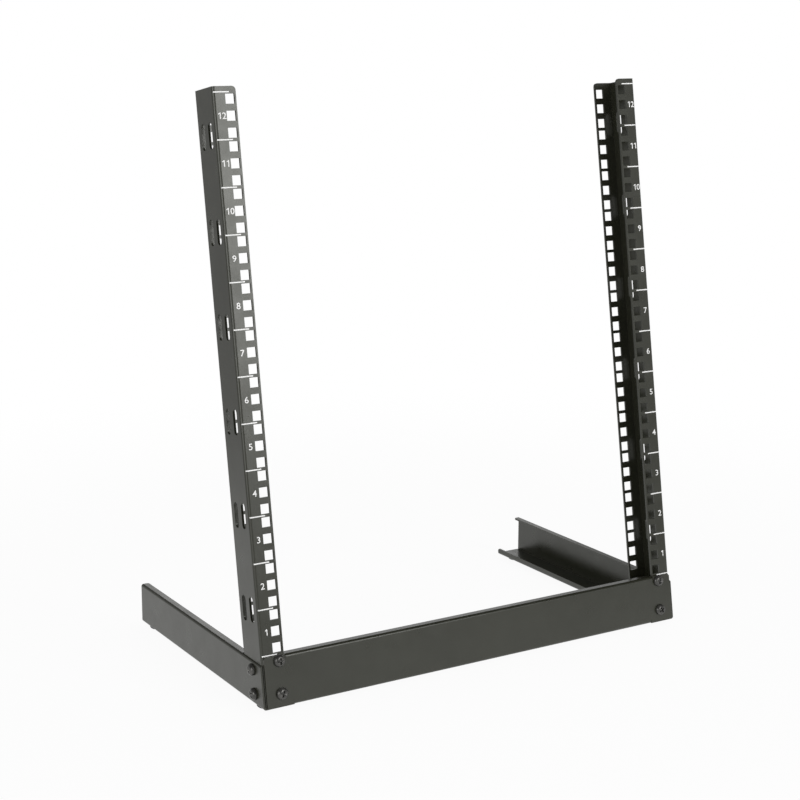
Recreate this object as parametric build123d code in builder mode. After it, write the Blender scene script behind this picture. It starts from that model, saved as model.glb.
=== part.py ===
import math
import os

from build123d import *

os.makedirs("parts", exist_ok=True)

# Rack standard: one unit is 44.45 high with three square holes
unit_pitch = 44.45
unit_count = 12
hole_rise_low = 6.35
hole_rise_mid = 22.225
hole_rise_high = 38.1
hole_size = 9.5

# Uprights: folded channels, open towards each other, leaning back, hole columns 465.1 apart
lean = 9.1
rack_width = 500.0
column_inset = 17.45
flange_width = 24.0
post_depth = 40.0
post_sheet = 2.0
post_bend = 3.0
post_head = 5.5
flange_corner = 4.0
slot_width = 8.0
slot_length = 25.0
slot_inset = 12.3
slot_first = 44.0
slot_pitch = 90.0
slot_count = 6

# Base legs: channels on their sides, standing outside the uprights
leg_sheet = 2.0
leg_bend = 2.6
leg_height = 42.5
leg_length = 283.0
leg_top_width = 8.5
leg_base_width = 32.0
leg_lip = 7.0
leg_corner = 2.5
line_over_leg = 8.5
notch_gap = 1.0

# Crossbar: folded sheet over the fronts of the uprights
bar_sheet = 2.0
bar_bend = 3.0
bar_height = 50.0
bar_line_gap = 1.0
bar_end_inset = 1.3
bar_corner = 3.0
bar_flange = 12.0
bar_flange_gap = 0.6
bar_relief = 0.5

# Feet: low rubber domes under the legs
foot_radius = 10.0
foot_height = 5.0
foot_round = 2.0
foot_inset = 14.0
foot_front = 13.0
foot_rear = 13.5

# Fasteners: M6 pan heads with cross recess, and weld nuts inside the uprights
screw_radius = 3.0
screw_hole = 3.3
head_radius = 6.0
head_height = 4.2
head_round = 3.4
recess_width = 1.5
recess_span = 6.4
recess_depth = 2.2
nut_width = 10.0
nut_height = 5.0
thread_spare = 1.5
thread_gap = 0.05
front_screw_drops = (6.35, 38.1)
side_screw_drops = (14.2, 38.1)
side_screw_w = 18.0

# Derived layout
seat_z = foot_height
leg_web_x = rack_width / 2
line_z = seat_z + leg_height + line_over_leg
head_reach = (bar_sheet + head_height) * math.cos(math.radians(lean))
drop_reach = (front_screw_drops[-1] + head_radius - head_round) * math.sin(math.radians(lean))
front_y = (head_reach + drop_reach - leg_length) / 2
column_x = rack_width / 2 - column_inset
flange_edge_x = rack_width / 2 - flange_width
scale_top = unit_count * unit_pitch
post_top = scale_top + post_head

# The upright's own plane: across, backward along its depth, up its length
post_plane = Plane(origin=(0, front_y, line_z), x_dir=(1, 0, 0), z_dir=(0, 0, 1))
post_plane = post_plane.rotated((-lean, 0, 0))


# Unit hole rows, measured up the upright from the bottom line of unit 1
hole_rows = []
for unit in range(unit_count):
    for rise in (hole_rise_low, hole_rise_mid, hole_rise_high):
        hole_rows.append(unit * unit_pitch + rise)
slot_rows = [slot_first + slot_pitch * k for k in range(slot_count)]
slot_depths = (slot_inset, post_depth - slot_inset)


# Working planes on the leaning upright: its front face and its outer side
post_up = Axis((0, 0, 0), post_plane.z_dir)
post_back = Axis((0, 0, 0), post_plane.y_dir)
front_face = Plane(post_plane.origin, x_dir=post_plane.x_dir, z_dir=-post_plane.y_dir)
side_face = Plane(post_plane.origin, x_dir=post_plane.y_dir, z_dir=post_plane.x_dir)
post_foot_z = seat_z + leg_sheet
post_run_down = line_z - post_foot_z + post_depth
post_mid_x = rack_width / 2 - flange_width / 2

# Right upright: channel section, folded corners, then the punched patterns
with BuildPart() as right_post:
    with BuildSketch(post_plane.offset(-post_run_down)) as post_section:
        with Locations((post_mid_x, post_depth / 2)):
            Rectangle(flange_width, post_depth)
        with Locations((post_mid_x - post_sheet, post_depth / 2)):
            Rectangle(flange_width, post_depth - 2 * post_sheet, mode=Mode.SUBTRACT)
        section_groups = post_section.vertices().group_by(Axis.X)
        fillet(section_groups[-1], post_bend)
        fillet(section_groups[-2], post_bend - post_sheet)
    extrude(amount=post_run_down + post_top)
    flange_ends = right_post.edges().filter_by(post_back).group_by(post_up)[-1]
    fillet(flange_ends.group_by(Axis.X)[0], flange_corner)
    with BuildSketch(front_face):
        with Locations([(column_x, row) for row in hole_rows]):
            Rectangle(hole_size, hole_size)
    extrude(amount=-post_depth, mode=Mode.SUBTRACT)
    with BuildSketch(side_face.offset(rack_width / 2)):
        with Locations([(depth, row) for depth in slot_depths for row in slot_rows]):
            SlotOverall(slot_length, slot_width, rotation=90)
    extrude(amount=-2 * post_sheet, mode=Mode.SUBTRACT)
    with BuildSketch(front_face):
        with Locations([(column_x, -drop) for drop in front_screw_drops]):
            Circle(screw_hole)
    extrude(amount=-2 * post_sheet, mode=Mode.SUBTRACT)
    with BuildSketch(side_face.offset(rack_width / 2)):
        with Locations([(side_screw_w, -drop) for drop in side_screw_drops]):
            Circle(screw_hole)
    extrude(amount=-2 * post_sheet, mode=Mode.SUBTRACT)
    split(bisect_by=Plane.XY.offset(post_foot_z), keep=Keep.TOP)
right_post.part.label = "right_post"
export_step(right_post.part, "parts/right_post.step")

with BuildPart() as left_post:
    add(mirror(right_post.part, about=Plane.YZ))
left_post.part.label = "left_post"
export_step(left_post.part, "parts/left_post.step")

# Right base leg: channel section across its length, bent at three corners
leg_outer_x = leg_web_x + leg_sheet
leg_rear_y = front_y + leg_length
leg_section = Plane(origin=(0, leg_rear_y, seat_z), x_dir=(1, 0, 0), z_dir=(0, -1, 0))
leg_base_mid = leg_outer_x - leg_base_width / 2
leg_top_mid = leg_outer_x - leg_top_width / 2

with BuildPart() as right_leg:
    with BuildSketch(leg_section) as leg_outline:
        with Locations((leg_outer_x - leg_sheet / 2, leg_height / 2)):
            Rectangle(leg_sheet, leg_height)
        with Locations((leg_top_mid, leg_height - leg_sheet / 2)):
            Rectangle(leg_top_width, leg_sheet)
        with Locations((leg_base_mid, leg_sheet / 2)):
            Rectangle(leg_base_width, leg_sheet)
        with Locations((leg_outer_x - leg_base_width + leg_sheet / 2, leg_lip / 2)):
            Rectangle(leg_sheet, leg_lip)
        outer_corners = leg_outline.vertices().group_by(Axis.X)[-1]
        lip_corner = leg_outline.vertices().group_by(Axis.X)[0].sort_by(Axis.Y)[0]
        web_inner = leg_outline.vertices().group_by(Axis.X)[-2]
        lip_inner = leg_outline.vertices().group_by(Axis.X)[1].sort_by(Axis.Y)[0]
        fillet(outer_corners + [lip_corner], leg_bend)
        fillet(web_inner + [lip_inner], leg_bend - leg_sheet)
    extrude(amount=leg_length + leg_height)
    top_rear = right_leg.edges().filter_by(Axis.Z).group_by(Axis.Z)[-1].group_by(Axis.Y)[-1]
    fillet(top_rear.group_by(Axis.X)[0], leg_corner)
    lip_rear = right_leg.edges().filter_by(Axis.X).group_by(Axis.X)[0].group_by(Axis.Z)[-1]
    fillet(lip_rear.sort_by(Axis.Y)[-1], leg_corner)
    split(bisect_by=Plane(post_plane.origin, x_dir=(1, 0, 0), z_dir=post_plane.y_dir), keep=Keep.TOP)
    with BuildSketch(side_face.offset(leg_web_x)):
        with Locations(((post_depth + notch_gap) / 2, 0)):
            Rectangle(post_depth + notch_gap, 2 * (line_z - seat_z - leg_height + leg_bend))
    extrude(amount=-leg_base_width, mode=Mode.SUBTRACT)
    with BuildSketch(side_face.offset(leg_outer_x)):
        with Locations([(side_screw_w, -drop) for drop in side_screw_drops]):
            Circle(screw_hole)
    extrude(amount=-2 * leg_sheet, mode=Mode.SUBTRACT)
right_leg.part.label = "right_leg"
export_step(right_leg.part, "parts/right_leg.step")

with BuildPart() as left_leg:
    add(mirror(right_leg.part, about=Plane.YZ))
left_leg.part.label = "left_leg"
export_step(left_leg.part, "parts/left_leg.step")

# Crossbar: face plate over both uprights, its edges folded back between them
bar_top = -bar_line_gap
bar_mid = bar_top - bar_height / 2
bar_half = rack_width / 2 - bar_end_inset
top_flange_half = flange_edge_x - bar_flange_gap
low_flange_half = leg_outer_x - leg_base_width - bar_flange_gap

with BuildPart() as crossbar:
    for half, level in ((top_flange_half, 1), (low_flange_half, -1)):
        fold_v = bar_mid + level * bar_height / 2
        with BuildSketch(side_face.offset(-half)) as fold:
            with Locations((-bar_sheet / 2, bar_mid + level * bar_height / 4)):
                Rectangle(bar_sheet, bar_height / 2)
            with Locations((bar_flange / 2 - bar_sheet, fold_v - level * bar_sheet / 2)):
                Rectangle(bar_flange, bar_sheet)
            fold_outer = fold.vertices().sort_by_distance((-bar_sheet, fold_v))[0]
            fillet(fold_outer, bar_bend)
            fold_inner = fold.vertices().sort_by_distance((0, fold_v - level * bar_sheet))[0]
            fillet(fold_inner, bar_bend - bar_sheet)
        extrude(amount=2 * half)
        end_mid = (half + bar_half) / 2
        with BuildSketch(front_face):
            with Locations([(side * end_mid, bar_mid + level * bar_height / 4) for side in (-1, 1)]):
                Rectangle(bar_half - half, bar_height / 2)
        extrude(amount=bar_sheet)
        with BuildSketch(front_face):
            with Locations([(side * (half + bar_relief / 2), fold_v) for side in (-1, 1)]):
                Rectangle(bar_relief, 2 * bar_bend)
        extrude(amount=bar_sheet, mode=Mode.SUBTRACT)
    bar_sides = crossbar.edges().filter_by(post_back)
    bar_sides = bar_sides.filter_by(lambda e: abs(e.center().X) > bar_half - bar_sheet)
    fillet(bar_sides, bar_corner)
    with BuildSketch(front_face):
        with Locations([(side * column_x, -drop) for side in (-1, 1) for drop in front_screw_drops]):
            Circle(screw_hole)
    extrude(amount=bar_sheet, mode=Mode.SUBTRACT)
crossbar.part.label = "crossbar"
export_step(crossbar.part, "parts/crossbar.step")

# Pan head screw with a cross recess, standing on its own plane
screw_length = bar_sheet + post_sheet + nut_height + thread_spare

with BuildPart() as screw:
    with BuildSketch():
        Circle(head_radius)
    extrude(amount=head_height)
    fillet(screw.faces().sort_by(Axis.Z)[-1].edges(), head_round)
    with BuildSketch():
        Circle(screw_radius)
    extrude(amount=-screw_length)
    with BuildSketch(Plane.XY.offset(head_height)):
        Rectangle(recess_span, recess_width)
        Rectangle(recess_width, recess_span)
    extrude(amount=-recess_depth, mode=Mode.SUBTRACT)

with BuildPart() as nut:
    with BuildSketch():
        RegularPolygon(nut_width / 2, 6, major_radius=False)
        Circle(screw_radius + thread_gap, mode=Mode.SUBTRACT)
    extrude(amount=nut_height)

with BuildPart() as foot:
    with BuildSketch():
        Circle(foot_radius)
    extrude(amount=foot_height)
    fillet(foot.faces().sort_by(Axis.Z)[0].edges(), foot_round)

# Front screws stand on the crossbar's face, side screws on the leg's outer face
for side, side_name in ((-1, "left"), (1, "right")):
    front_heads = front_face.offset(bar_sheet)
    front_nuts = front_face.offset(-post_sheet - nut_height)
    side_heads = Plane(post_plane.origin, x_dir=post_plane.y_dir, z_dir=(side, 0, 0))
    for drop, level in zip(front_screw_drops, ("upper", "lower")):
        head_at = front_heads.shift_origin(front_heads.from_local_coords((side * column_x, -drop, 0)))
        piece = head_at.location * screw.part
        piece.label = f"front_screw_{side_name}_{level}"
        export_step(piece, f"parts/{piece.label}.step")
        nut_at = front_nuts.shift_origin(front_nuts.from_local_coords((side * column_x, -drop, 0)))
        piece = nut_at.location * nut.part
        piece.label = f"front_nut_{side_name}_{level}"
        export_step(piece, f"parts/{piece.label}.step")
    for drop, level in zip(side_screw_drops, ("upper", "lower")):
        up = -drop * side_heads.y_dir.Z / abs(side_heads.y_dir.Z)
        head_at = side_heads.offset(leg_outer_x)
        head_at = head_at.shift_origin(head_at.from_local_coords((side_screw_w, up, 0)))
        piece = head_at.location * screw.part
        piece.label = f"side_screw_{side_name}_{level}"
        export_step(piece, f"parts/{piece.label}.step")
        nut_at = side_heads.offset(rack_width / 2 - post_sheet - nut_height)
        nut_at = nut_at.shift_origin(nut_at.from_local_coords((side_screw_w, up, 0)))
        piece = nut_at.location * nut.part
        piece.label = f"side_nut_{side_name}_{level}"
        export_step(piece, f"parts/{piece.label}.step")
    for end_y, end_name in ((front_y + foot_front, "front"), (leg_rear_y - foot_rear, "rear")):
        piece = Location((side * (leg_outer_x - foot_inset), end_y, 0)) * foot.part
        piece.label = f"foot_{side_name}_{end_name}"
        export_step(piece, f"parts/{piece.label}.step")
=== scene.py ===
import math
import bmesh
import bpy
from mathutils import Matrix, Vector


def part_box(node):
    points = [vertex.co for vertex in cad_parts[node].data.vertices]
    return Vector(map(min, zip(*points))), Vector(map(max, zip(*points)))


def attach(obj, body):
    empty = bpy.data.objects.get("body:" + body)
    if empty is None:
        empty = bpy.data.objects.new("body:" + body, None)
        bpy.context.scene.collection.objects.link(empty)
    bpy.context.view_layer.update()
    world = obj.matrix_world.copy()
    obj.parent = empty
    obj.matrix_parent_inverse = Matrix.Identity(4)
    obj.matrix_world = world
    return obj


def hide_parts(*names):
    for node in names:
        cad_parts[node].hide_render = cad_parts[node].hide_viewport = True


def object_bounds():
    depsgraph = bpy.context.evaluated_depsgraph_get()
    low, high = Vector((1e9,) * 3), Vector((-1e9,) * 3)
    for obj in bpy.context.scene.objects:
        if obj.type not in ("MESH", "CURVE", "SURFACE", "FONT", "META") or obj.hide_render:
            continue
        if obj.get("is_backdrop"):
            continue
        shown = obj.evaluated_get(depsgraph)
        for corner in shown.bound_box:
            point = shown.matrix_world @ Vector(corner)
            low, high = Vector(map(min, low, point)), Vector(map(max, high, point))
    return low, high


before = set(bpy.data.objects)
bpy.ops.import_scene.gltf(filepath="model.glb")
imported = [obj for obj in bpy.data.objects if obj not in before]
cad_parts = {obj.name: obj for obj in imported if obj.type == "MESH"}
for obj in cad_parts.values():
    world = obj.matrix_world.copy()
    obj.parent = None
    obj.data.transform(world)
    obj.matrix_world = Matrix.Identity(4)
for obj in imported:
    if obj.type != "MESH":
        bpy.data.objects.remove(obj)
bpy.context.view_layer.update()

# the uprights as the CAD has them, in metres
rack = {
    "lean": 9.1,              # degrees, tops towards the back
    "frontY": -0.13522,       # front faces at the bottom line of unit 1
    "lineZ": 0.056,           # height of that line
    "halfWidth": 0.250,
    "bend": 0.003,            # outer radius of the folds
    "sheet": 0.002,
    "column": 0.23255,        # centre line of the square holes
    "unit": 0.04445,
    "units": 12,
}
postPlace = Matrix.Translation((0, rack["frontY"], rack["lineZ"]))
postPlace = postPlace @ Matrix.Rotation(-math.radians(rack["lean"]), 4, "X")


def joinSockets(tree, *pairs):
    for source, target in pairs:
        tree.links.new(source, target)


def newMaterial(name):
    finish = bpy.data.materials.new(name)
    finish.use_nodes = True
    tree = finish.node_tree
    coords = tree.nodes.new("ShaderNodeTexCoord")
    return finish, tree, tree.nodes["Principled BSDF"], coords.outputs["Object"]


def addNoise(tree, coords, scale, detail=2.0, roughness=0.5):
    noise = tree.nodes.new("ShaderNodeTexNoise")
    noise.inputs["Scale"].default_value = scale
    noise.inputs["Detail"].default_value = detail
    noise.inputs["Roughness"].default_value = roughness
    tree.links.new(coords, noise.inputs["Vector"])
    return noise.outputs["Fac"]


# most of a noise's values lie between 0.3 and 0.7
def addRange(tree, source, low, high, fromLow=0.3, fromHigh=0.7, kind="LINEAR"):
    remap = tree.nodes.new("ShaderNodeMapRange")
    remap.interpolation_type = kind
    remap.inputs["From Min"].default_value = fromLow
    remap.inputs["From Max"].default_value = fromHigh
    remap.inputs["To Min"].default_value = low
    remap.inputs["To Max"].default_value = high
    tree.links.new(source, remap.inputs["Value"])
    return remap.outputs["Result"]


def addTint(tree, source, dark, light, darkEdge=0.35, lightEdge=0.65):
    ramp = tree.nodes.new("ShaderNodeValToRGB")
    stops = ramp.color_ramp.elements
    stops[0].position, stops[0].color = darkEdge, (*dark, 1)
    stops[1].position, stops[1].color = lightEdge, (*light, 1)
    tree.links.new(source, ramp.inputs["Fac"])
    return ramp.outputs["Color"]


def addBump(tree, source, strength, depth, below=None):
    bump = tree.nodes.new("ShaderNodeBump")
    bump.inputs["Strength"].default_value = strength
    bump.inputs["Distance"].default_value = depth
    tree.links.new(source, bump.inputs["Height"])
    if below:
        tree.links.new(below, bump.inputs["Normal"])
    return bump.outputs["Normal"]


# the gloss follows the clouds in the colour, unless it has patches of its own
def makeFinish(look):
    finish, tree, shader, coords = newMaterial(look["name"])
    cloud = addNoise(tree, coords, *look["cloud"])
    patch = addNoise(tree, coords, *look["patch"]) if "patch" in look else cloud
    tint = addTint(tree, cloud, look["dark"], look["light"])
    gloss = addRange(tree, patch, *look["rough"])
    normal = None
    for scale, strength, depth in look["bumps"]:
        normal = addBump(tree, addNoise(tree, coords, scale), strength, depth, normal)
    joinSockets(tree, (tint, shader.inputs["Base Color"]), (gloss, shader.inputs["Roughness"]),
                (normal, shader.inputs["Normal"]))
    for name, value in look.get("fixed", {}).items():
        shader.inputs[name].default_value = value
    return finish


# charcoal powder coat: orange peel and fine grain, slightly cloudy gloss
coat = {
    "name": "charcoalPowderCoat",
    "dark": (0.0140, 0.0145, 0.0078),
    "light": (0.0180, 0.0186, 0.0108),
    "cloud": (14.0, 4.0, 0.6),        # scale, detail and roughness of the noise in the colour
    "patch": (55.0, 3.0),             # scale and detail of the noise in the gloss
    "rough": (0.27, 0.34),
    "bumps": [(900.0, 0.5, 0.00004), (3800.0, 0.5, 0.000012)],    # scale, strength, depth
    "fixed": {"IOR": 1.6, "Specular Tint": (0.99, 1.00, 0.96, 1)},
}
# black zinc on the screws and nuts
zinc = {
    "name": "blackZinc",
    "dark": (0.050, 0.050, 0.047),
    "light": (0.095, 0.093, 0.086),
    "cloud": (260.0, 4.0, 0.6),
    "rough": (0.20, 0.32),
    "bumps": [(2400.0, 0.4, 0.00002)],
    "fixed": {"IOR": 1.6, "Metallic": 0.6},
}
rubber = {
    "name": "footRubber",
    "dark": (0.016, 0.016, 0.016),
    "light": (0.028, 0.028, 0.027),
    "cloud": (120.0, 3.0),
    "rough": (0.66, 0.80),
    "bumps": [(1800.0, 0.6, 0.00004)],
}
ink = {
    "name": "whiteScreenInk",
    "dark": (0.80, 0.80, 0.79),
    "light": (0.90, 0.90, 0.89),
    "cloud": (700.0, 3.0),
    "rough": (0.45, 0.60),
    "bumps": [(3000.0, 0.4, 0.00001)],
}
coatFinish = makeFinish(coat)
zincFinish = makeFinish(zinc)
rubberFinish = makeFinish(rubber)
inkFinish = makeFinish(ink)
print("finishes ready")


def linkMesh(name, mesh):
    piece = bpy.data.objects.new(name, mesh)
    bpy.context.scene.collection.objects.link(piece)
    return piece


def meshFrom(work, name, outwards=True):
    if outwards:
        bmesh.ops.recalc_face_normals(work, faces=work.faces)
    mesh = bpy.data.meshes.new(name)
    work.to_mesh(mesh)
    work.free()
    return mesh


def plainMesh(thing):
    bpy.context.view_layer.update()
    graph = bpy.context.evaluated_depsgraph_get()
    return bpy.data.meshes.new_from_object(thing.evaluated_get(graph), depsgraph=graph)


def settleMesh(piece, finish=None):
    mesh = plainMesh(piece)
    piece.modifiers.clear()
    piece.data = mesh
    if finish:
        mesh.materials.clear()
        mesh.materials.append(finish)
    return piece


def mountPiece(piece, nodes=()):
    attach(piece, "root")
    if nodes:
        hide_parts(*nodes)
    return piece


# two rings of points and the walls between them; caps lists the faces that close each end
def ringMesh(name, low, high, caps=None):
    work = bmesh.new()
    low, high = ([work.verts.new(point) for point in ring] for ring in (low, high))
    count = len(low)
    for cap in caps or [range(count)]:
        work.faces.new([low[i] for i in cap][::-1])
        work.faces.new([high[i] for i in cap])
    for i in range(count):
        j = (i + 1) % count
        work.faces.new((low[i], low[j], high[j], high[i]))
    return meshFrom(work, name)


def prismMesh(name, outline, low, high, caps=None):
    rings = [[(x, y, z) for x, y in outline] for z in (low, high)]
    return ringMesh(name, *rings, caps)


# an outline of radius and height, turned about the upright axis; a radius of 0 is a pole
def latheMesh(name, outline, segments):
    work = bmesh.new()
    turn = [2 * math.pi * k / segments for k in range(segments)]
    rings = []
    for radius, height in outline:
        spots = [(radius * math.cos(a), radius * math.sin(a), height) for a in turn]
        rings.append([work.verts.new(spot) for spot in (spots if radius else spots[:1])])
    for one, two in zip(rings, rings[1:]):
        for k in range(segments):
            following = (k + 1) % segments
            if len(one) == 1:
                work.faces.new((one[0], two[following], two[k]))
            elif len(two) == 1:
                work.faces.new((one[k], one[following], two[0]))
            else:
                work.faces.new((one[k], one[following], two[following], two[k]))
    mesh = meshFrom(work, name)
    mesh.shade_smooth()
    return mesh


# folded sheet parts: the CAD solids with their cut edges broken
sheetEdge = {
    "radius": 0.0003,
    "segments": 2,
    "sharp": 35.0,            # degrees, the least turn that counts as a cut edge
    "flat": 0.4,              # degrees, the most turn within one face
    "merge": 0.000002,
    "faceWeight": 80,
}
sheetPieces = {
    "left_post": "leftUpright",
    "right_post": "rightUpright",
    "left_leg": "leftFootRail",
    "right_leg": "rightFootRail",
    "crossbar": "frontCrossbar",
}


def dressSheet(nodeName, pieceName):
    work = bmesh.new()
    work.from_mesh(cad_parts[nodeName].data)
    bmesh.ops.remove_doubles(work, verts=work.verts, dist=sheetEdge["merge"])
    flat = math.radians(sheetEdge["flat"])
    bmesh.ops.dissolve_limit(work, angle_limit=flat, verts=work.verts, edges=work.edges)
    mesh = meshFrom(work, pieceName, False)
    mesh.shade_smooth()
    piece = linkMesh(pieceName, mesh)
    bevel = piece.modifiers.new("brokenEdges", "BEVEL")
    bevel.width = sheetEdge["radius"]
    bevel.segments = sheetEdge["segments"]
    bevel.limit_method = "ANGLE"
    bevel.angle_limit = math.radians(sheetEdge["sharp"])
    flatten = piece.modifiers.new("flatFaces", "WEIGHTED_NORMAL")
    flatten.mode = "FACE_AREA"
    flatten.weight = sheetEdge["faceWeight"]
    settleMesh(piece, coatFinish)
    return mountPiece(piece, [nodeName])


for nodeName, pieceName in sheetPieces.items():
    dressSheet(nodeName, pieceName)
print("sheet parts dressed")


def newTree(name, needs):
    tree = bpy.data.node_groups.new(name, "GeometryNodeTree")
    rim = tree.interface
    rim.new_socket(name="Geometry", in_out="INPUT", socket_type="NodeSocketGeometry")
    sockets = {}
    for label, kind in needs.items():
        socket = rim.new_socket(name=label, in_out="INPUT", socket_type=f"NodeSocket{kind}")
        sockets[label] = socket.identifier
    rim.new_socket(name="Geometry", in_out="OUTPUT", socket_type="NodeSocketGeometry")
    return tree, sockets, tree.nodes.new("NodeGroupInput").outputs


# the copies become one painted mesh
def closeTree(tree, inputs, copies):
    solid = tree.nodes.new("GeometryNodeRealizeInstances")
    paint = tree.nodes.new("GeometryNodeSetMaterial")
    result = tree.nodes.new("NodeGroupOutput")
    joinSockets(tree, (copies.outputs["Instances"], solid.inputs["Geometry"]),
                (solid.outputs["Geometry"], paint.inputs["Geometry"]),
                (inputs["Finish"], paint.inputs["Material"]),
                (paint.outputs["Geometry"], result.inputs["Geometry"]))


def runTree(piece, tree, sockets, values):
    run = piece.modifiers.new(tree.name, "NODES")
    run.node_group = tree
    for label, value in values.items():
        run[sockets[label]] = value
    settleMesh(piece, values["Finish"])


# unit lines printed on the front flanges, from round the corner to the hole column
ruleLine = {
    "height": 0.00115,
    "innerX": 0.2332,
    "wrap": 44.0,             # degrees round the corner bend
    "film": 0.00004,
    "steps": 6,
}


def lineStrip(side):
    bendX = rack["halfWidth"] - rack["bend"]
    outer, inner = [], []
    for film, path in ((ruleLine["film"], outer), (-ruleLine["film"], inner)):
        radius = rack["bend"] + film
        for step in range(ruleLine["steps"] + 1):
            angle = math.radians(ruleLine["wrap"] * (1 - step / ruleLine["steps"]))
            x, y = bendX + radius * math.sin(angle), rack["bend"] - radius * math.cos(angle)
            path.append((side * x, y))
        path.append((side * ruleLine["innerX"], rack["bend"] - radius))
    outline = outer + inner[::-1]
    last = len(outline) - 1
    quads = [(i, i + 1, last - i - 1, last - i) for i in range(len(outer) - 1)]
    return prismMesh("unitLine", outline, -ruleLine["height"] / 2, ruleLine["height"] / 2, quads)


def repeatTree():
    needs = {"Count": "Int", "Pitch": "Float", "Finish": "Material"}
    tree, sockets, inputs = newTree("repeatUpTheRail", needs)
    offset = tree.nodes.new("ShaderNodeCombineXYZ")
    line = tree.nodes.new("GeometryNodeMeshLine")
    copies = tree.nodes.new("GeometryNodeInstanceOnPoints")
    joinSockets(tree, (inputs["Pitch"], offset.inputs["Z"]),
                (inputs["Count"], line.inputs["Count"]),
                (offset.outputs["Vector"], line.inputs["Offset"]),
                (line.outputs["Mesh"], copies.inputs["Points"]),
                (inputs["Geometry"], copies.inputs["Instance"]))
    closeTree(tree, inputs, copies)
    return tree, sockets


lineTree, lineSockets = repeatTree()
for side, pieceName in ((-1, "unitLinesLeft"), (1, "unitLinesRight")):
    lines = linkMesh(pieceName, lineStrip(side))
    values = {"Count": rack["units"] + 1, "Pitch": rack["unit"], "Finish": inkFinish}
    runTree(lines, lineTree, lineSockets, values)
    lines.data.transform(postPlace)
    mountPiece(lines)
print("unit lines printed")

# unit numbers between the corner and the middle hole of each unit
ruleNumber = {
    "height": 0.0061,
    "rise": 0.0223,           # of a number's middle above the line under it
    "leftMiddle": -0.2422,
    "rightMiddle": 0.2436,
    "film": 0.00004,
    "weight": 0.010,          # stroke fattening, as a share of the height
    "widen": 1.08,
    "advance": 0.00445,       # from one digit's middle to the next
    "fontSize": 0.01,         # before a digit is brought to its height
    "curveSteps": 4,
    "merge": 0.000002,
}
# the digit one is drawn from a given outline: a plain stem with a flag
digitOne = {
    "stem": 0.00095,
    "flag": 0.0015,           # reach of the flag, to the left of the stem
    "shift": 0.85,            # how much of the stem stands right of the middle
    "fall": 0.72,             # drop of the flag, as a share of its reach
    "tip": 0.95,              # depth of the flag at its tip, in stems
    "root": 1.15,             # and where it meets the stem
}


def digitMesh(text):
    curve = bpy.data.curves.new("unitNumber", "FONT")
    curve.body = text
    curve.size = ruleNumber["fontSize"]
    curve.offset = ruleNumber["weight"] * ruleNumber["height"]
    curve.extrude = ruleNumber["film"]
    curve.resolution_u = ruleNumber["curveSteps"]
    holder = bpy.data.objects.new("unitNumber", curve)
    bpy.context.scene.collection.objects.link(holder)
    mesh = plainMesh(holder)
    bpy.data.objects.remove(holder)
    xs = [v.co.x for v in mesh.vertices]
    ys = [v.co.y for v in mesh.vertices]
    grow = ruleNumber["height"] / (max(ys) - min(ys))
    mesh.transform(Matrix.Translation((-(max(xs) + min(xs)) / 2, -(max(ys) + min(ys)) / 2, 0)))
    mesh.transform(Matrix.Diagonal((grow * ruleNumber["widen"], grow, 1, 1)))
    return mesh


def oneMesh():
    half, stem = ruleNumber["height"] / 2, digitOne["stem"]
    right = stem * digitOne["shift"]
    left = right - stem
    tipX = left - digitOne["flag"]
    tipY = half - digitOne["flag"] * digitOne["fall"]
    outline = [(right, -half), (right, half), (left, half), (tipX, tipY),
               (tipX, tipY - stem * digitOne["tip"]), (left, half - stem * digitOne["root"]),
               (left, -half)]
    return prismMesh("digitOne", outline, -ruleNumber["film"], ruleNumber["film"])


def numberColumn(middleX, pieceName):
    work = bmesh.new()
    upright = Matrix.Rotation(math.radians(90), 4, "X")
    for unit in range(rack["units"]):
        digits = str(unit + 1)
        rise = unit * rack["unit"] + ruleNumber["rise"]
        for k, digit in enumerate(digits):
            mesh = oneMesh() if digit == "1" else digitMesh(digit)
            across = middleX + (k - (len(digits) - 1) / 2) * ruleNumber["advance"]
            mesh.transform(postPlace @ Matrix.Translation((across, 0, rise)) @ upright)
            work.from_mesh(mesh)
            bpy.data.meshes.remove(mesh)
    bmesh.ops.remove_doubles(work, verts=work.verts, dist=ruleNumber["merge"])
    mesh = meshFrom(work, pieceName, False)
    mesh.materials.append(inkFinish)
    return mountPiece(linkMesh(pieceName, mesh))


numberColumn(ruleNumber["leftMiddle"], "unitNumbersLeft")
numberColumn(ruleNumber["rightMiddle"], "unitNumbersRight")
print("unit numbers printed")

# M6 pan head screws
screw = {
    "headRadius": 0.0060,
    "headHeight": 0.0042,
    "domeRadius": 0.0034,
    "domeSteps": 8,
    "rim": 0.00015,           # chamfer under the head
    "shank": 0.0030,
    "core": 0.0026,
    "plain": 0.0035,          # shank without thread under the head
    "threadPitch": 0.0010,
    "crest": 0.00003,         # taken off the thread's edges
    "length": 0.0105,         # below the head, with the end past the nut
    "lastThread": 0.0006,     # least height left under the last thread
    "tipRise": 0.0003,
    "tipInset": 0.0004,
    "segments": 40,
    "edge": 0.00012,
    "edgeSegments": 2,
    "edgeSharp": 38.0,
}
# their cross recess: two wings that narrow towards its floor
crossRecess = {
    "span": 0.0072,
    "width": 0.0017,
    "depth": 0.0023,
    "above": 0.001,           # how far the cutter stands over the head
    "longer": 0.0004,         # and how much longer and wider it is there, each side
    "wider": 0.00012,
    "floorSpan": 0.55,        # shares of the span and the width at the floor
    "floorWidth": 0.7,
}


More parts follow.
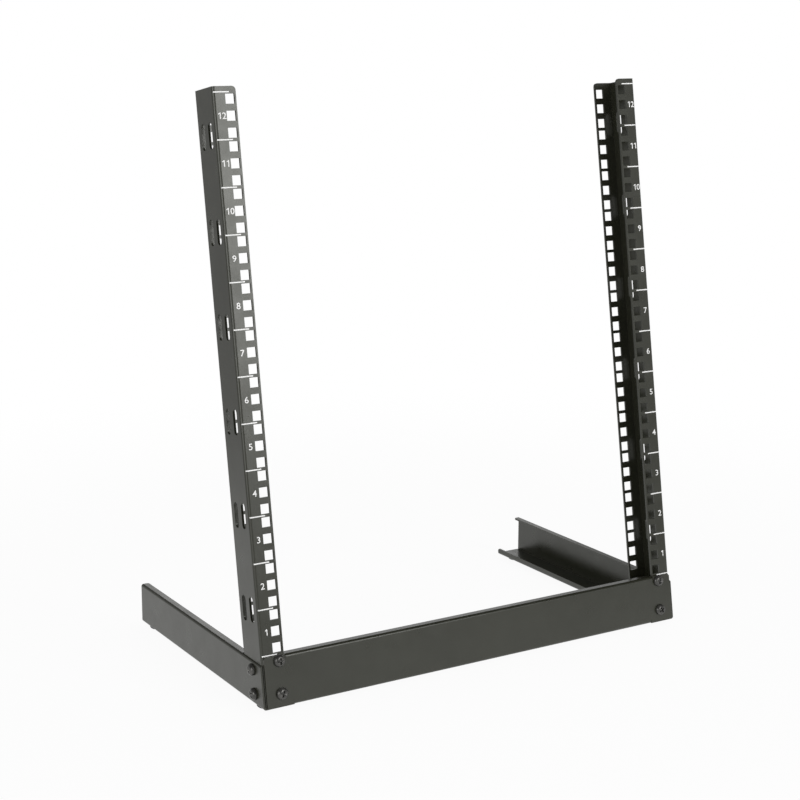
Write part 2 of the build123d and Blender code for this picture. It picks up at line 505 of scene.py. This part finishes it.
def screwOutline():
    top, head, dome = screw["headHeight"], screw["headRadius"], screw["domeRadius"]
    shank, core, pitch = screw["shank"], screw["core"], screw["threadPitch"]
    outline = [(0, top)]
    for step in range(screw["domeSteps"] + 1):
        angle = math.radians(90 - 90 * step / screw["domeSteps"])
        outline.append((head - dome + dome * math.cos(angle), top - dome + dome * math.sin(angle)))
    outline += [(head, screw["rim"]), (head - screw["rim"], 0), (shank, 0)]
    depth, end = screw["plain"], screw["length"]
    outline.append((shank, -depth))
    while depth + pitch < end - screw["lastThread"]:
        outline += [(core, -depth - pitch / 2), (shank - screw["crest"], -depth - pitch)]
        depth += pitch
    return outline + [(core, screw["tipRise"] - end), (core - screw["tipInset"], -end), (0, -end)]


def wingMesh(turned):
    halfSpan, halfWidth = crossRecess["span"] / 2, crossRecess["width"] / 2
    levels = [
        (screw["headHeight"] - crossRecess["depth"],
         halfSpan * crossRecess["floorSpan"], halfWidth * crossRecess["floorWidth"]),
        (screw["headHeight"] + crossRecess["above"],
         halfSpan + crossRecess["longer"], halfWidth + crossRecess["wider"]),
    ]
    rings = []
    for z, span, width in levels:
        x, y = (width, span) if turned else (span, width)
        rings.append([(-x, -y, z), (x, -y, z), (x, y, z), (-x, y, z)])
    return ringMesh("recessWing", *rings)


def cutWith(piece, cutters, operation="DIFFERENCE"):
    for cutter in cutters:
        cut = piece.modifiers.new("cut", "BOOLEAN")
        cut.operation = operation
        cut.solver = "EXACT"
        cut.object = cutter
    settleMesh(piece)
    for cutter in cutters:
        bpy.data.objects.remove(cutter)
    return piece


def screwPattern():
    mesh = latheMesh("screwPattern", screwOutline(), screw["segments"])
    pattern = linkMesh("screwPattern", mesh)
    cutWith(pattern, [linkMesh("wing", wingMesh(False)), linkMesh("wingTurned", wingMesh(True))])
    edge = pattern.modifiers.new("edge", "BEVEL")
    edge.width = screw["edge"]
    edge.segments = screw["edgeSegments"]
    edge.angle_limit = math.radians(screw["edgeSharp"])
    return settleMesh(pattern)


# weld nuts inside the uprights
nut = {
    "acrossFlats": 0.010,
    "height": 0.005,
    "chamfer": 0.00063,       # how far the cone comes down past the corners
    "coneOver": 0.0004,       # its reach past the corners
    "coneUnder": 0.0002,      # below the nut, and inside the flats at the top
    "coneSegments": 48,
    "bore": 0.00305,
    "flare": 0.0005,          # widening of the bore at the top
    "flareDepth": 0.0004,
    "boreOver": 0.0001,       # the cutter's reach above and below the nut
    "boreUnder": 0.001,
    "boreSegments": 40,
}


def nutPattern():
    corner, top = nut["acrossFlats"] / math.sqrt(3), nut["height"]
    turn = [math.radians(60 * k + 30) for k in range(6)]
    outline = [(corner * math.cos(a), corner * math.sin(a)) for a in turn]
    pattern = linkMesh("nutPattern", prismMesh("nutPattern", outline, 0, top))
    reach, under = corner + nut["coneOver"], nut["coneUnder"]
    cone = [(0, -under), (reach, -under), (reach, top - nut["chamfer"]),
            (nut["acrossFlats"] / 2 - under, top), (0, top)]
    cone = linkMesh("nutCone", latheMesh("nutCone", cone, nut["coneSegments"]))
    cutWith(pattern, [cone], "INTERSECT")
    bore, over, under = nut["bore"], nut["boreOver"], nut["boreUnder"]
    hole = [(0, -under), (bore, -under), (bore, top - nut["flareDepth"]),
            (bore + nut["flare"], top + over), (0, top + over)]
    hole = linkMesh("nutBore", latheMesh("nutBore", hole, nut["boreSegments"]))
    return cutWith(pattern, [hole])


# a pattern on every point, aimed along the point's facing and spun about it
def scatterTree():
    needs = {"Pattern": "Object", "Turn": "Float", "Seed": "Int", "Finish": "Material"}
    tree, sockets, inputs = newTree("fastenersOnPoints", needs)
    info = tree.nodes.new("GeometryNodeObjectInfo")
    facing = tree.nodes.new("GeometryNodeInputNamedAttribute")
    facing.data_type = "FLOAT_VECTOR"
    facing.inputs["Name"].default_value = "facing"
    aim = tree.nodes.new("FunctionNodeAlignRotationToVector")
    aim.axis = "Z"
    spin = tree.nodes.new("FunctionNodeRandomValue")
    spin.data_type = "FLOAT"
    spinMost, spinValue = spin.inputs[3], spin.outputs[1]    # the sockets of its float kind
    axis = tree.nodes.new("FunctionNodeAxisAngleToRotation")
    axis.inputs["Axis"].default_value = (0, 0, 1)
    both = tree.nodes.new("FunctionNodeRotateRotation")
    both.rotation_space = "LOCAL"
    copies = tree.nodes.new("GeometryNodeInstanceOnPoints")
    joinSockets(tree, (inputs["Pattern"], info.inputs["Object"]),
                (facing.outputs["Attribute"], aim.inputs["Vector"]),
                (inputs["Turn"], spinMost),
                (inputs["Seed"], spin.inputs["Seed"]),
                (spinValue, axis.inputs["Angle"]),
                (aim.outputs["Rotation"], both.inputs["Rotation"]),
                (axis.outputs["Rotation"], both.inputs["Rotate By"]),
                (inputs["Geometry"], copies.inputs["Points"]),
                (info.outputs["Geometry"], copies.inputs["Instance"]),
                (both.outputs["Rotation"], copies.inputs["Rotation"]))
    closeTree(tree, inputs, copies)
    return tree, sockets


fastener = {
    "frontDrops": (0.00635, 0.0381),    # below the bottom line of unit 1, along the upright
    "sideDrops": (0.0142, 0.0381),
    "sideDepth": 0.018,                 # of the side screws, behind the front face
    "barSheet": 0.002,
    "turn": math.tau,                   # most that a screw is spun
    "seed": 7,
    "sharp": 32.0,
}


def pointMesh(name, spots):
    mesh = bpy.data.meshes.new(name)
    mesh.from_pydata([spot for spot, aim in spots], [], [])
    facing = mesh.attributes.new("facing", "FLOAT_VECTOR", "POINT")
    for k, (spot, aim) in enumerate(spots):
        facing.data[k].vector = aim
    return mesh


def fastenerSpots(frontDepth, sideX, inward):
    turned = postPlace.to_3x3()
    out = -1 if inward else 1
    spots = []
    for side in (-1, 1):
        for drop in fastener["frontDrops"]:
            spot = postPlace @ Vector((side * rack["column"], frontDepth, -drop))
            spots.append((spot, turned @ Vector((0, -out, 0))))
        for drop in fastener["sideDrops"]:
            spot = postPlace @ Vector((side * sideX, fastener["sideDepth"], -drop))
            spots.append((spot, Vector((side * out, 0, 0))))
    return spots


def placeFasteners(pieceName, pattern, spots, turn, kind):
    piece = linkMesh(pieceName, pointMesh(pieceName, spots))
    values = {"Pattern": pattern, "Turn": turn, "Seed": fastener["seed"], "Finish": zincFinish}
    runTree(piece, fastenerTree, fastenerSockets, values)
    piece.data.set_sharp_from_angle(angle=math.radians(fastener["sharp"]))
    bpy.data.objects.remove(pattern)
    nodes = [f"{face}_{kind}_{side}_{level}" for face in ("front", "side")
             for side in ("left", "right") for level in ("upper", "lower")]
    return mountPiece(piece, nodes)


fastenerTree, fastenerSockets = scatterTree()
screwSpots = fastenerSpots(-fastener["barSheet"], rack["halfWidth"] + rack["sheet"], False)
nutSpots = fastenerSpots(rack["sheet"], rack["halfWidth"] - rack["sheet"], True)
placeFasteners("panHeadScrews", screwPattern(), screwSpots, fastener["turn"], "screw")
placeFasteners("weldNuts", nutPattern(), nutSpots, 0.0, "nut")
print("fasteners placed")

# rubber feet: low domes with a shallow dimple underneath
foot = {
    "radius": 0.010,
    "height": 0.005,
    "round": 0.002,           # at the floor
    "roundSteps": 6,
    "topEdge": 0.0003,
    "dimple": 0.0055,
    "dimpleDepth": 0.0009,
    "dimpleSlope": 0.0010,
    "lip": 0.0004,            # eases the dimple's edge into the floor face
    "lipRise": 0.0001,
    "segments": 64,
    "sharp": 40.0,
}


def footOutline():
    radius, height, bend = foot["radius"], foot["height"], foot["round"]
    dimple, deep, edge = foot["dimple"], foot["dimpleDepth"], foot["topEdge"]
    outline = [(0, deep), (dimple - foot["dimpleSlope"], deep), (dimple, foot["lipRise"]),
               (dimple + foot["lip"], 0.0), (radius - bend, 0.0)]
    for step in range(1, foot["roundSteps"] + 1):
        angle = math.radians(90 * step / foot["roundSteps"])
        outline.append((radius - bend * (1 - math.sin(angle)), bend * (1 - math.cos(angle))))
    return outline + [(radius, height - edge), (radius - edge, height), (0, height)]


for side in ("left", "right"):
    for end in ("front", "rear"):
        low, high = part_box(f"foot_{side}_{end}")
        mesh = latheMesh("rubberFoot", footOutline(), foot["segments"])
        mesh.transform(Matrix.Translation(((low.x + high.x) / 2, (low.y + high.y) / 2, low.z)))
        mesh.materials.append(rubberFinish)
        mesh.set_sharp_from_angle(angle=math.radians(foot["sharp"]))
        piece = linkMesh(f"rubberFoot{side.title()}{end.title()}", mesh)
        mountPiece(piece, [f"foot_{side}_{end}"])
print("feet placed")

# camera at the photograph's viewpoint
view = {
    "place": (-0.94186, -1.51129, 0.64446),
    "turn": 31.27,            # degrees, to the right of straight back
    "down": 11.42,
    "roll": 0.11,
    "lens": 76.935,
    "sensor": 36.0,
    "shift": (0.0107, -0.0377),
}
cameraData = bpy.data.cameras.new("viewpoint")
cameraData.lens = view["lens"]
cameraData.sensor_width = view["sensor"]
cameraData.shift_x, cameraData.shift_y = view["shift"]
camera = bpy.data.objects.new("viewpoint", cameraData)
bpy.context.scene.collection.objects.link(camera)
aim = Matrix.Rotation(-math.radians(view["turn"]), 4, "Z")
aim = aim @ Matrix.Rotation(math.radians(90 - view["down"]), 4, "X")
aim = aim @ Matrix.Rotation(math.radians(view["roll"]), 4, "Z")
camera.matrix_world = Matrix.Translation(view["place"]) @ aim
bpy.context.scene.camera = camera

# pale floor that keeps the shadow, white surroundings
room = {
    "floorSize": 14.0,
    "floorTone": 0.86,
    "floorRough": 0.9,
    "bright": 0.94,           # share of plain white near the object, where the shadow falls
    "nearEdge": 0.45,         # metres from the origin
    "farEdge": 1.3,
    "ambient": 0.50,
    "horizon": 0.56,          # what gloss sees of the white far off, and overhead
    "ceiling": 0.10,
    "ceilingLow": 0.28,       # sines of the elevations between which it darkens
    "ceilingHigh": 0.50,
}


def addMath(tree, operation, first, second):
    node = tree.nodes.new("ShaderNodeMath")
    node.operation = operation
    joinSockets(tree, (first, node.inputs[0]), (second, node.inputs[1]))
    return node.outputs["Value"]


def seenDirectly(tree):
    rays = tree.nodes.new("ShaderNodeLightPath").outputs
    most = rays["Is Camera Ray"]
    for name in ("Is Glossy Ray", "Is Transmission Ray"):
        most = addMath(tree, "MAXIMUM", most, rays[name])
    return most


# plain white for the camera, and the given level for gloss
def whiteLevel(tree, level):
    rays = tree.nodes.new("ShaderNodeLightPath")
    return addMath(tree, "MAXIMUM", rays.outputs["Is Camera Ray"], level)


def blendShaders(tree, share, first, second, target):
    blend = tree.nodes.new("ShaderNodeMixShader")
    joinSockets(tree, (share, blend.inputs["Fac"]), (first, blend.inputs[1]),
                (second, blend.inputs[2]), (blend.outputs["Shader"], target))


floorFinish, tree, base, coords = newMaterial("paleFloor")
base.inputs["Base Color"].default_value = (room["floorTone"],) * 3 + (1,)
base.inputs["Roughness"].default_value = room["floorRough"]
glow = tree.nodes.new("ShaderNodeEmission")
glow.inputs["Color"].default_value = (1, 1, 1, 1)
distance = tree.nodes.new("ShaderNodeVectorMath")
distance.operation = "LENGTH"
tree.links.new(coords, distance.inputs[0])
away, edges = distance.outputs["Value"], (room["nearEdge"], room["farEdge"])
whiter = addRange(tree, away, room["bright"], 1.0, *edges, "SMOOTHSTEP")
fading = addRange(tree, away, 1.0, room["horizon"], *edges, "SMOOTHSTEP")
tree.links.new(whiteLevel(tree, fading), glow.inputs["Strength"])
share = addMath(tree, "MULTIPLY", seenDirectly(tree), whiter)
blendShaders(tree, share, base.outputs["BSDF"], glow.outputs["Emission"],
             tree.nodes["Material Output"].inputs["Surface"])
reach = room["floorSize"] / 2
corners = [(-reach, -reach, 0), (reach, -reach, 0), (reach, reach, 0), (-reach, reach, 0)]
floorMesh = bpy.data.meshes.new("floor")
floorMesh.from_pydata(corners, [], [(0, 1, 2, 3)])
floorMesh.materials.append(floorFinish)
floor = linkMesh("floor", floorMesh)
floor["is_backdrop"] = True

world = bpy.data.worlds.new("whiteRoom")
world.use_nodes = True
bpy.context.scene.world = world
tree = world.node_tree
ambient = tree.nodes["Background"]
ambient.inputs["Color"].default_value = (1, 1, 1, 1)
ambient.inputs["Strength"].default_value = room["ambient"]
white = tree.nodes.new("ShaderNodeBackground")
white.inputs["Color"].default_value = (1, 1, 1, 1)
coords = tree.nodes.new("ShaderNodeTexCoord")
heading = tree.nodes.new("ShaderNodeSeparateXYZ")
tree.links.new(coords.outputs["Generated"], heading.inputs["Vector"])
darker = addRange(tree, heading.outputs["Z"], room["horizon"], room["ceiling"],
                  room["ceilingLow"], room["ceilingHigh"], "SMOOTHSTEP")
tree.links.new(whiteLevel(tree, darker), white.inputs["Strength"])
blendShaders(tree, seenDirectly(tree), ambient.outputs["Background"], white.outputs["Background"],
             tree.nodes["World Output"].inputs["Surface"])

lamps = {
    "key": {"place": (0.74, -2.49, 1.27), "aim": (0, 0, 0.9), "size": (1.15, 1.65), "power": 31.0},
    "side": {"place": (-2.30, -1.22, 0.80), "aim": (0, 0, 0.6), "size": (1.5, 1.4), "power": 19.0},
    "rear": {"place": (1.30, 2.60, 1.35), "aim": (0, 0, 0.3), "size": (1.4, 1.0), "power": 5.5},
}
for name, lamp in lamps.items():
    data = bpy.data.lights.new(name, "AREA")
    data.shape = "RECTANGLE"
    data.size, data.size_y = lamp["size"]
    data.energy = lamp["power"]
    light = bpy.data.objects.new(name, data)
    bpy.context.scene.collection.objects.link(light)
    light.location = lamp["place"]
    towards = Vector(lamp["aim"]) - Vector(lamp["place"])
    light.rotation_euler = towards.to_track_quat("-Z", "Y").to_euler()
bpy.context.scene.view_settings.view_transform = "Standard"
print("camera, floor and lamps set")

low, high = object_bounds()
